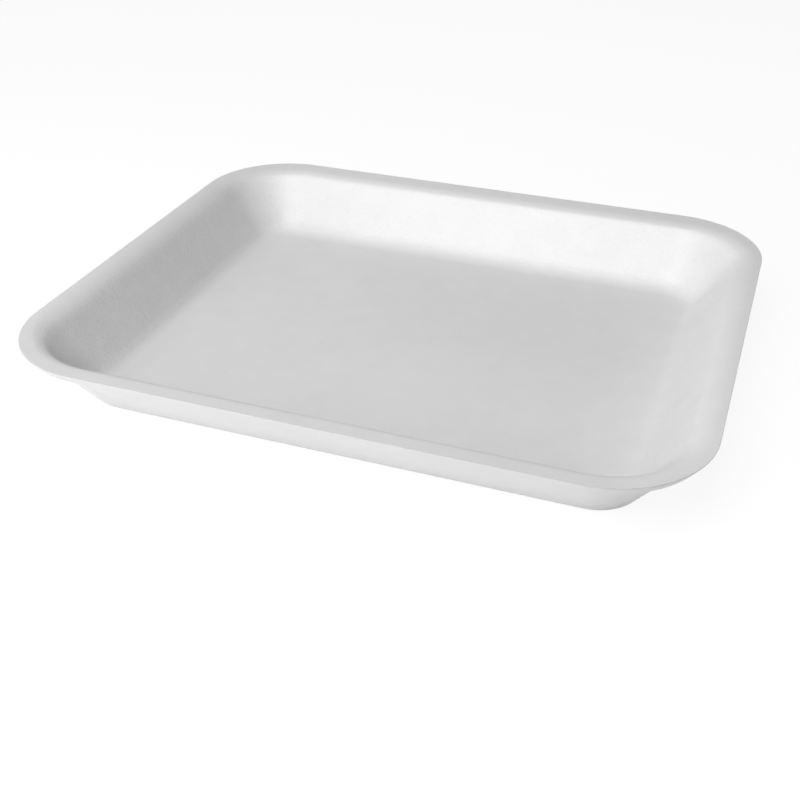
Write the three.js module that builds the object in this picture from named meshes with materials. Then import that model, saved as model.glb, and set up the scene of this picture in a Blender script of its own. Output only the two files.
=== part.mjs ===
// A shallow foam food tray, pressed in one piece from foamed polystyrene sheet.
//
// One section runs all the way round the tray: a flat floor, a fillet, a sloping wall, a rounded
// shoulder and a nearly level rim that ends in a cut edge. Floor, walls and rim are equally thick.
// The two long sides have a broad rim with a tight shoulder, and the two ends a narrow rim with a
// rounder one. So the section is drawn twice, as arcs joined by straight lines, and the corners
// blend the one into the other.
//
// Millimetres. +X runs along the tray's length, +Y along its width and +Z up. The origin is at the
// centre of the underside, where the tray rests.

import * as THREE from "three";

// Overall sizes, over the rim
const length = 260;
const width = 217.6;
const height = 28.8;

// Sheet
const sheet = 3.5;

// Section
const endSlope = THREE.MathUtils.degToRad(54); // wall at the short ends, above the horizontal
const sideSlope = THREE.MathUtils.degToRad(53); // wall along the long sides
const endShoulder = 13; // radius of the upper side, between wall and rim
const sideShoulder = 7;
const endRim = 2; // straight part of the rim's upper side
const sideRim = 5.8;
const endFillet = 9; // inside, between floor and wall
const sideFillet = 12;
const rimFall = THREE.MathUtils.degToRad(7); // of the rim towards the tray, below the horizontal
const cutLean = THREE.MathUtils.degToRad(35); // of the cut edge, out of the vertical and under the rim
const cutRound = 0.4; // corners of the cut edge
const baseFillet = 4.1; // outside, between underside and wall

// Plan
const rimCorner = 38.3; // corner radius of the rim's outer edge
const floorCorner = 10; // corner radius where the floor's flat ends

// Facets
const shoulderSteps = 7;
const cutSteps = 3;
const floorSteps = 6;
const baseSteps = 5;
const cornerSteps = 12;

// The section, as points of (inset from the rim's outer edge, height above the underside)

function arcPoints(centre, radius, from, to, steps) {
  return new THREE.EllipseCurve(centre.x, centre.y, radius, radius, from, to, to < from).getPoints(steps);
}

// Inset at which a wall that leaves the shoulder has come down to where the flat of its fillet starts
function flatInset(shoulder, radius, slope, fillet, level) {
  const startInset = shoulder.x + radius * Math.sin(slope);
  const startHeight = shoulder.y + radius * Math.cos(slope);
  const endHeight = level + fillet * (1 - Math.cos(slope));
  const run = (startHeight - endHeight) / Math.tan(slope);
  return startInset + run + fillet * Math.sin(slope);
}

function sectionPoints(slope, shoulderRadius, rimRun, floorFillet) {
  // Directions, as angles in the plane of inset and height
  const up = Math.PI / 2;
  const out = Math.PI;
  const down = -Math.PI / 2;
  const intoTray = up - slope; // square to the wall, inwards and up
  const outOfTray = down - slope; // square to the wall, outwards and down
  const offRim = up - rimFall; // square to the rim, up
  const offCut = out + cutLean; // square to the cut edge, outwards and down

  const square = new THREE.Vector2(Math.cos(offRim), Math.sin(offRim));
  const along = new THREE.Vector2(square.y, -square.x); // down the rim towards the tray
  const downCut = new THREE.Vector2(Math.sin(cutLean), -Math.cos(cutLean));
  const cutLength = (sheet - 2 * cutRound) / Math.cos(cutLean + rimFall);

  const upperCut = new THREE.Vector2(cutRound, height - cutRound);
  const lowerCut = upperCut.clone().addScaledVector(downCut, cutLength);
  const shoulder = upperCut
    .clone()
    .addScaledVector(along, rimRun)
    .addScaledVector(square, cutRound - shoulderRadius);
  const floor = new THREE.Vector2(
    flatInset(shoulder, shoulderRadius, slope, floorFillet, sheet),
    sheet + floorFillet,
  );
  const base = new THREE.Vector2(
    flatInset(shoulder, shoulderRadius - sheet, slope, baseFillet, 0),
    baseFillet,
  );

  return [
    ...arcPoints(floor, floorFillet, down, outOfTray, floorSteps),
    ...arcPoints(shoulder, shoulderRadius, intoTray, offRim, shoulderSteps),
    upperCut.clone().addScaledVector(square, cutRound),
    ...arcPoints(upperCut, cutRound, up, out, cutSteps),
    new THREE.Vector2(Math.cos(offCut), Math.sin(offCut)).multiplyScalar(cutRound).add(upperCut),
    ...arcPoints(lowerCut, cutRound, offCut, offRim + Math.PI, cutSteps),
    ...arcPoints(shoulder, shoulderRadius - sheet, offRim, intoTray, shoulderSteps),
    ...arcPoints(base, baseFillet, outOfTray, down, baseSteps),
  ];
}

// The plan: one closed ring, a rounded rectangle through a point of the end section and the
// matching point of the side section. Round each corner its height passes from the one to the other.

function planRing(end, side, floorInset) {
  const radius = THREE.MathUtils.mapLinear(end.x, 0, floorInset, rimCorner, floorCorner);
  const centreX = length / 2 - end.x - radius;
  const centreY = width / 2 - side.x - radius;
  const ring = [];
  [[1, 1], [-1, 1], [-1, -1], [1, -1]].forEach(([sideX, sideY], corner) => {
    for (let step = 0; step <= cornerSteps; step++) {
      const angle = (corner + step / cornerSteps) * (Math.PI / 2);
      const towardSide = Math.sin(angle) ** 2;
      ring.push(
        new THREE.Vector3(
          sideX * centreX + radius * Math.cos(angle),
          sideY * centreY + radius * Math.sin(angle),
          THREE.MathUtils.lerp(end.y, side.y, towardSide),
        ),
      );
    }
  });
  return ring;
}

// A closed body from rings that follow each other: the first ring and the last are filled in flat

function loftRings(rings) {
  const count = rings[0].length;
  const positions = rings.flat().flatMap((point) => point.toArray());
  const index = [];
  for (let row = 0; row + 1 < rings.length; row++) {
    for (let column = 0; column < count; column++) {
      const next = (column + 1) % count;
      const here = row * count;
      const above = here + count;
      index.push(here + column, above + column, above + next);
      index.push(here + column, above + next, here + next);
    }
  }
  const flat = (ring) => ring.map((point) => new THREE.Vector2(point.x, point.y));
  const last = (rings.length - 1) * count;
  for (const [a, b, c] of THREE.ShapeUtils.triangulateShape(flat(rings[0]), [])) {
    index.push(a, b, c);
  }
  for (const [a, b, c] of THREE.ShapeUtils.triangulateShape(flat(rings.at(-1)), [])) {
    index.push(last + a, last + c, last + b);
  }
  const geometry = new THREE.BufferGeometry();
  geometry.setAttribute("position", new THREE.Float32BufferAttribute(positions, 3));
  geometry.setIndex(index);
  geometry.computeVertexNormals();
  return geometry;
}

function makeTray() {
  const ends = sectionPoints(endSlope, endShoulder, endRim, endFillet);
  const sides = sectionPoints(sideSlope, sideShoulder, sideRim, sideFillet);
  const rings = ends.map((end, row) => planRing(end, sides[row], ends[0].x));
  const foam = new THREE.MeshStandardMaterial({ color: 0xf2f2f1, roughness: 0.55, metalness: 0 });
  const tray = new THREE.Mesh(loftRings(rings), foam);
  tray.name = "tray";
  return tray;
}

const foamTray = new THREE.Group();
foamTray.name = "foam_tray";
foamTray.add(makeTray());

export default foamTray;
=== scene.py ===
# A foam food tray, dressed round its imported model: a fine, smooth mesh of the same section, a foam
# material, a pale floor, two softboxes and the camera of the photograph.

import math

import bmesh
import bpy
from mathutils import Matrix, Vector


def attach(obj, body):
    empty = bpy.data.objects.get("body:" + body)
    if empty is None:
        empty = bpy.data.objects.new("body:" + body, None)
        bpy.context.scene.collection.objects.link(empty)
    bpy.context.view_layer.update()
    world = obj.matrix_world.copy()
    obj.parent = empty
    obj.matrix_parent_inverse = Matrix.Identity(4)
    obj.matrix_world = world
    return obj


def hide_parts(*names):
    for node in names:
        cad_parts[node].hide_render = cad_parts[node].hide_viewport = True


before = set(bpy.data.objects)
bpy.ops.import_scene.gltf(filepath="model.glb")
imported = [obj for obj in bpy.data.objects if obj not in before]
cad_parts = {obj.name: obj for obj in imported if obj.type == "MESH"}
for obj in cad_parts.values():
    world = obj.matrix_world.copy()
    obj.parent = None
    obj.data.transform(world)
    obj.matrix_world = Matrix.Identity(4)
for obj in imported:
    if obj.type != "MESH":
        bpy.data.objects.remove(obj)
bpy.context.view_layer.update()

MM = 0.001

# The tray's sizes, in millimetres, as in the CAD source. Only the corners of the cut edge are sharper here.
LENGTH = 260.0
WIDTH = 217.6
HEIGHT = 28.8
SHEET = 3.5
END_SLOPE = math.radians(54.0)
SIDE_SLOPE = math.radians(53.0)
END_SHOULDER = 13.0
SIDE_SHOULDER = 7.0
END_RIM = 2.0
SIDE_RIM = 5.8
END_FILLET = 9.0
SIDE_FILLET = 12.0
RIM_FALL = math.radians(7.0)
CUT_LEAN = math.radians(35.0)
CUT_ROUND = 0.15
BASE_FILLET = 4.1
RIM_CORNER = 38.3
FLOOR_CORNER = 10.0

# Mesh fineness
FLOOR_STEPS = 14
WALL_STEPS = 10
SHOULDER_STEPS = 18
RIM_STEPS = 6
CUT_STEPS = 4
CUT_TURN_STEPS = 2
CUT_FACE_STEPS = 4
BASE_STEPS = 10
CORNER_STEPS = 26
LENGTH_STEPS = 40
WIDTH_STEPS = 32
FLAT_RINGS = 22

# The foam's skin: how many waves each noise has in a metre
GRAIN_WAVES = 900.0
SMALL_DENT_WAVES = 760.0
DENT_WAVES = 380.0
PEBBLE_WAVES = 330.0
MOTTLE_WAVES = 95.0
DRIFT_WAVES = 14.0

# Colours, and shares of them
DULL_FOAM = (0.805, 0.805, 0.803, 1.0)
PALE_FOAM = (0.845, 0.845, 0.843, 1.0)
# Painted shade for the dents: a darker colour, and the share of it mixed in where the walls are dented
DENT_PAINTED_SHADE_COLOUR = (0.66, 0.66, 0.655, 1.0)
DENT_PAINTED_SHADE_SHARE = 0.12
WHITE = (1.0, 1.0, 1.0, 1.0)
FLOOR_COLOUR = (0.86, 0.86, 0.86, 1.0)
FLOOR_SHADOW_COLOUR = (0.15, 0.15, 0.15, 1.0)
FLOOR_GLOW = 0.91

# Studio, in metres
FLOOR_SIZE = 8.0
SOFTBOX_SIZE = 0.6
SOFTBOX_DISTANCE = 0.9

# Camera
SENSOR_WIDTH = 36.0  # mm
FRAME_PIXELS = 800.0
NEAR_CLIP = 0.01  # m


# The tray

def on_circle(centre, radius, angle):
    return Vector((centre[0] + radius * math.cos(angle), centre[1] + radius * math.sin(angle)))


def arc(centre, radius, start, stop, steps):
    return [on_circle(centre, radius, start + (stop - start) * step / steps) for step in range(steps + 1)]


def between(start, stop, steps):
    """The points strictly between two ends of a straight run."""
    return [start.lerp(stop, step / steps) for step in range(1, steps)]


def flat_inset(shoulder, radius, slope, fillet, level):
    """Inset at which a wall that leaves the shoulder has come down to where its fillet's flat starts."""
    start_inset = shoulder[0] + radius * math.sin(slope)
    start_height = shoulder[1] + radius * math.cos(slope)
    end_height = level + fillet * (1 - math.cos(slope))
    run = (start_height - end_height) / math.tan(slope)
    return start_inset + run + fillet * math.sin(slope)


def section(slope, shoulder_radius, rim_run, floor_fillet):
    """The sheet's outline, as insets and heights, from the floor's flat over the rim to the underside's."""
    up = math.pi / 2
    out = math.pi
    down = -math.pi / 2
    into_tray = up - slope
    out_of_tray = down - slope
    off_rim = up - RIM_FALL
    off_cut = out + CUT_LEAN

    square = Vector((math.cos(off_rim), math.sin(off_rim)))
    along = Vector((square.y, -square.x))
    down_cut = Vector((math.sin(CUT_LEAN), -math.cos(CUT_LEAN)))
    upper_cut = Vector((CUT_ROUND, HEIGHT - CUT_ROUND))
    lower_cut = upper_cut + down_cut * (SHEET - 2 * CUT_ROUND) / math.cos(CUT_LEAN + RIM_FALL)
    shoulder = upper_cut + along * rim_run + square * (CUT_ROUND - shoulder_radius)
    floor = (flat_inset(shoulder, shoulder_radius, slope, floor_fillet, SHEET), SHEET + floor_fillet)
    base = (flat_inset(shoulder, shoulder_radius - SHEET, slope, BASE_FILLET, 0.0), BASE_FILLET)

    # Each run of points, with the steps of the straight line to the next one
    runs = (
        (arc(floor, floor_fillet, down, out_of_tray, FLOOR_STEPS), WALL_STEPS),
        (arc(shoulder, shoulder_radius, into_tray, off_rim, SHOULDER_STEPS), RIM_STEPS),
        ([on_circle(upper_cut, CUT_ROUND, off_rim)], 1),
        (arc(upper_cut, CUT_ROUND, up, out, CUT_STEPS), CUT_TURN_STEPS),
        ([on_circle(upper_cut, CUT_ROUND, off_cut)], CUT_FACE_STEPS),
        (arc(lower_cut, CUT_ROUND, off_cut, off_rim + math.pi, CUT_STEPS), RIM_STEPS),
        (arc(shoulder, shoulder_radius - SHEET, off_rim, into_tray, SHOULDER_STEPS), WALL_STEPS),
        (arc(base, BASE_FILLET, out_of_tray, down, BASE_STEPS), 1),
    )
    points = []
    for (run, steps), (following, _) in zip(runs, runs[1:]):
        points += run + between(run[-1], following[0], steps)
    return points + runs[-1][0]


def plan_corner(corner, centre, radius, end_height, side_height):
    """One rounded corner. Its height passes from the end section's to the side section's."""
    points = []
    for step in range(CORNER_STEPS + 1):
        angle = (corner + step / CORNER_STEPS) * math.pi / 2
        toward_side = math.sin(angle) ** 2
        height = end_height + (side_height - end_height) * toward_side
        points.append(Vector((*on_circle(centre, radius, angle), height)))
    return points


def plan_ring(end, side, floor_inset):
    """A rounded rectangle through a point of the end section and its match in the side section."""
    radius = RIM_CORNER + (FLOOR_CORNER - RIM_CORNER) * end[0] / floor_inset
    centre_x = LENGTH / 2 - end[0] - radius
    centre_y = WIDTH / 2 - side[0] - radius
    corners = []
    for corner, (sign_x, sign_y) in enumerate(((1, 1), (-1, 1), (-1, -1), (1, -1))):
        centre = (sign_x * centre_x, sign_y * centre_y)
        corners.append(plan_corner(corner, centre, radius, end[1], side[1]))
    ring = []
    for corner, points in enumerate(corners):
        following = corners[(corner + 1) % len(corners)]
        steps = LENGTH_STEPS if corner % 2 == 0 else WIDTH_STEPS
        ring += points + between(points[-1], following[0], steps)
    return ring


def flat_rings(ring):
    """Rings that shrink from a flat ring towards its middle."""
    rings = []
    for step in range(1, FLAT_RINGS):
        scale = 1 - step / FLAT_RINGS
        rings.append([Vector((p.x * scale, p.y * scale, p.z)) for p in ring])
    return rings


def skin_rings(bm, rings):
    """Faces between rings that follow each other, with the first ring and the last closed to a point."""
    rows = [[bm.verts.new(p * MM) for p in ring] for ring in rings]
    count = len(rows[0])
    for low, high in zip(rows, rows[1:]):
        for i in range(count):
            j = (i + 1) % count
            bm.faces.new((low[i], high[i], high[j], low[j]))
    for row, order in ((rows[0], 1), (rows[-1], -1)):
        middle = bm.verts.new(Vector((0, 0, row[0].co.z)))
        for i in range(count):
            corners = (row[i], row[(i + 1) % count], middle)
            bm.faces.new(corners[::order])


def make_tray():
    ends = section(END_SLOPE, END_SHOULDER, END_RIM, END_FILLET)
    sides = section(SIDE_SLOPE, SIDE_SHOULDER, SIDE_RIM, SIDE_FILLET)
    rings = [plan_ring(end, side, ends[0][0]) for end, side in zip(ends, sides)]
    bm = bmesh.new()
    skin_rings(bm, flat_rings(rings[0])[::-1] + rings + flat_rings(rings[-1]))
    bm.normal_update()
    mesh = bpy.data.meshes.new("foam_tray_sheet")
    bm.to_mesh(mesh)
    bm.free()
    for face in mesh.polygons:
        face.use_smooth = True
    made = bpy.data.objects.new("foam_tray_sheet", mesh)
    bpy.context.scene.collection.objects.link(made)
    return made


# Shader nodes. Each value given to one of these is a socket to link or a constant to set.

def feed(tree, socket, value):
    if hasattr(value, "is_output"):
        tree.links.new(value, socket)
    else:
        socket.default_value = value


def node(tree, kind, **inputs):
    made = tree.nodes.new(kind)
    for name, value in inputs.items():
        feed(tree, made.inputs[name.replace("_", " ")], value)
    return made


def maths(tree, operation, *operands):
    made = tree.nodes.new("ShaderNodeMath")
    made.operation = operation
    for socket, value in zip(made.inputs, operands):
        feed(tree, socket, value)
    return made.outputs["Value"]


def remap(tree, value, low, high, to_low, to_high, smooth=False):
    made = node(
        tree, "ShaderNodeMapRange", Value=value, From_Min=low, From_Max=high, To_Min=to_low, To_Max=to_high
    )
    if smooth:
        made.interpolation_type = "SMOOTHSTEP"
    return made.outputs["Result"]


def noise(tree, place, waves, detail, roughness):
    made = node(tree, "ShaderNodeTexNoise", Vector=place, Scale=waves, Detail=detail, Roughness=roughness)
    return made.outputs["Fac"]


def dents(tree, place, waves, start, full):
    """Shallow rounded dents where a noise rises from its start level to its full one."""
    return remap(tree, noise(tree, place, waves, 1.0, 0.4), start, full, 0.0, 1.0, smooth=True)


def blend(tree, factor, first, second):
    made = tree.nodes.new("ShaderNodeMix")
    made.data_type = "RGBA"
    feed(tree, made.inputs["Factor"], factor)
    feed(tree, made.inputs["A"], first)
    feed(tree, made.inputs["B"], second)
    return made.outputs["Result"]


def bump(tree, height, strength, distance, under=None, sunken=False):
    """A surface raised or sunken by a height, over the normal of the bump under it."""
    made = node(tree, "ShaderNodeBump", Height=height, Strength=strength, Distance=distance)
    made.invert = sunken
    if under is not None:
        tree.links.new(under, made.inputs["Normal"])
    return made.outputs["Normal"]


def show_or_gather(tree, gathered, seen):
    """One shader where light is gathered, the other for the camera, reflections and see-through things."""
    path = node(tree, "ShaderNodeLightPath").outputs
    indirect = maths(tree, "MAXIMUM", path["Is Glossy Ray"], path["Is Transmission Ray"])
    mix = node(tree, "ShaderNodeMixShader", Fac=maths(tree, "MAXIMUM", path["Is Camera Ray"], indirect))
    tree.links.new(gathered, mix.inputs[1])
    tree.links.new(seen, mix.inputs[2])
    return mix.outputs["Shader"]


# Materials

def foam_material():
    """White foamed polystyrene: a skin of fine cells, faintly mottled and glossy, dented on the walls, with
    shade painted into the dents.
    """
    material = bpy.data.materials.new("foam_skin")
    material.use_nodes = True
    tree = material.node_tree
    shader = tree.nodes["Principled BSDF"]
    shader.inputs["Metallic"].default_value = 0.0
    shader.inputs["IOR"].default_value = 1.5
    shader.inputs["Roughness"].default_value = 0.36

    # How level the surface is, and the inner walls alone
    coords = tree.nodes.new("ShaderNodeTexCoord").outputs
    facing = node(tree, "ShaderNodeSeparateXYZ", Vector=coords["Normal"]).outputs["Z"]
    level = maths(tree, "ABSOLUTE", facing)
    steep = remap(tree, level, 0.75, 0.97, 1.0, 0.02, smooth=True)
    wall = maths(tree, "MULTIPLY", steep, remap(tree, facing, -0.2, 0.2, 0.06, 1.0))

    place = coords["Object"]
    grain = noise(tree, place, GRAIN_WAVES, 2.0, 0.5)
    pebble = noise(tree, place, PEBBLE_WAVES, 3.0, 0.55)
    mottle = noise(tree, place, MOTTLE_WAVES, 4.0, 0.6)
    drift = noise(tree, place, DRIFT_WAVES, 2.0, 0.5)
    broad_dents = dents(tree, place, DENT_WAVES, 0.60, 0.76)
    small_dents = dents(tree, place, SMALL_DENT_WAVES, 0.56, 0.76)
    dented = maths(tree, "MULTIPLY", maths(tree, "MAXIMUM", broad_dents, small_dents), wall)

    tone = remap(tree, maths(tree, "ADD", mottle, drift), 0.7, 1.3, 0.0, 1.0)
    skin = blend(tree, tone, DULL_FOAM, PALE_FOAM)
    # Painted shade: the dents on the inner walls are darkened in colour, as if shade fell into them
    skin_with_painted_dent_shade = blend(tree, maths(tree, "MULTIPLY", dented, DENT_PAINTED_SHADE_SHARE), skin, DENT_PAINTED_SHADE_COLOUR)
    tree.links.new(skin_with_painted_dent_shade, shader.inputs["Base Color"])

    # The unevenness, from broad to fine, fainter where the surface is level
    waves = maths(tree, "MULTIPLY", mottle, wall)
    pebbles = maths(tree, "MULTIPLY", pebble, remap(tree, wall, 0.0, 1.0, 0.4, 1.0))
    grains = maths(tree, "MULTIPLY", grain, remap(tree, level, 0.80, 0.98, 1.0, 0.4))
    normal = bump(tree, waves, strength=0.4, distance=0.0009)
    normal = bump(tree, pebbles, strength=0.1, distance=0.0004, under=normal)
    normal = bump(tree, grains, strength=0.7, distance=0.0002, under=normal)
    normal = bump(tree, dented, strength=0.15, distance=0.00035, under=normal, sunken=True)
    tree.links.new(normal, shader.inputs["Normal"])
    return material


def floor_material():
    """A pale floor. What is seen of it glows, so that it stays white, and still takes the shadow."""
    material = bpy.data.materials.new("floor_white")
    material.use_nodes = True
    tree = material.node_tree
    tree.nodes.clear()
    plain = node(tree, "ShaderNodeBsdfDiffuse", Color=FLOOR_COLOUR)
    faint = node(tree, "ShaderNodeBsdfDiffuse", Color=FLOOR_SHADOW_COLOUR)
    glow = node(tree, "ShaderNodeEmission", Color=WHITE, Strength=FLOOR_GLOW)
    seen = tree.nodes.new("ShaderNodeAddShader")
    tree.links.new(faint.outputs["BSDF"], seen.inputs[0])
    tree.links.new(glow.outputs["Emission"], seen.inputs[1])
    surface = show_or_gather(tree, plain.outputs["BSDF"], seen.outputs["Shader"])
    node(tree, "ShaderNodeOutputMaterial", Surface=surface)
    return material


# Studio and camera

def direction(azimuth, elevation):
    """The way out to a place that is turned from -Y towards +X and then raised, in degrees."""
    turn = math.radians(azimuth)
    rise = math.radians(elevation)
    return Vector((math.sin(turn) * math.cos(rise), -math.cos(turn) * math.cos(rise), math.sin(rise)))


def make_floor():
    mesh = bpy.data.meshes.new("floor")
    half = FLOOR_SIZE / 2
    corners = [(-half, -half, 0), (half, -half, 0), (half, half, 0), (-half, half, 0)]
    mesh.from_pydata(corners, [], [(0, 1, 2, 3)])
    mesh.materials.append(floor_material())
    floor = bpy.data.objects.new("floor", mesh)
    bpy.context.scene.collection.objects.link(floor)


def make_world(strength):
    """A faint even light on the tray, and white where the world itself is seen."""
    world = bpy.data.worlds.new("studio")
    bpy.context.scene.world = world
    world.use_nodes = True
    tree = world.node_tree
    tree.nodes.clear()
    ambient = node(tree, "ShaderNodeBackground", Color=WHITE, Strength=strength).outputs["Background"]
    white = node(tree, "ShaderNodeBackground", Color=WHITE, Strength=1.0).outputs["Background"]
    node(tree, "ShaderNodeOutputWorld", Surface=show_or_gather(tree, ambient, white))


def make_softbox(name, azimuth, elevation, power):
    """A square lamp that looks at the tray."""
    light = bpy.data.lights.new(name, "AREA")
    light.shape = "SQUARE"
    light.size = SOFTBOX_SIZE
    light.energy = power
    away = direction(azimuth, elevation)
    lamp = bpy.data.objects.new(name, light)
    lamp.location = away * SOFTBOX_DISTANCE
    lamp.rotation_euler = away.to_track_quat("Z", "Y").to_euler()
    bpy.context.scene.collection.objects.link(lamp)


def make_camera(azimuth, elevation, distance, right_shift, up_shift, focal_pixels):
    """The camera of the photograph, in millimetres: it looks past the tray's middle, with no lens shift."""
    back = direction(azimuth, elevation)
    right = direction(azimuth + 90.0, 0.0)
    up = back.cross(right)
    camera = bpy.data.objects.new("camera", bpy.data.cameras.new("camera"))
    camera.data.sensor_width = SENSOR_WIDTH
    camera.data.lens = focal_pixels / FRAME_PIXELS * SENSOR_WIDTH
    camera.data.clip_start = NEAR_CLIP
    place = back * distance - right * right_shift - up * up_shift
    turned = Matrix((right, up, back)).transposed().to_4x4()
    camera.matrix_world = Matrix.Translation(place * MM) @ turned
    bpy.context.scene.collection.objects.link(camera)
    bpy.context.scene.camera = camera


make_camera(
    azimuth=20.176, elevation=32.594, distance=473.56, right_shift=5.65, up_shift=22.035, focal_pixels=1132.8
)
tray = make_tray()
tray.data.materials.append(foam_material())
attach(tray, "root")
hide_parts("tray")
make_floor()
make_world(strength=0.05)
make_softbox("high_softbox", azimuth=-12.0, elevation=58.0, power=5.4)
make_softbox("low_softbox", azimuth=-35.0, elevation=18.0, power=4.25)
bpy.context.scene.view_settings.view_transform = "Standard"
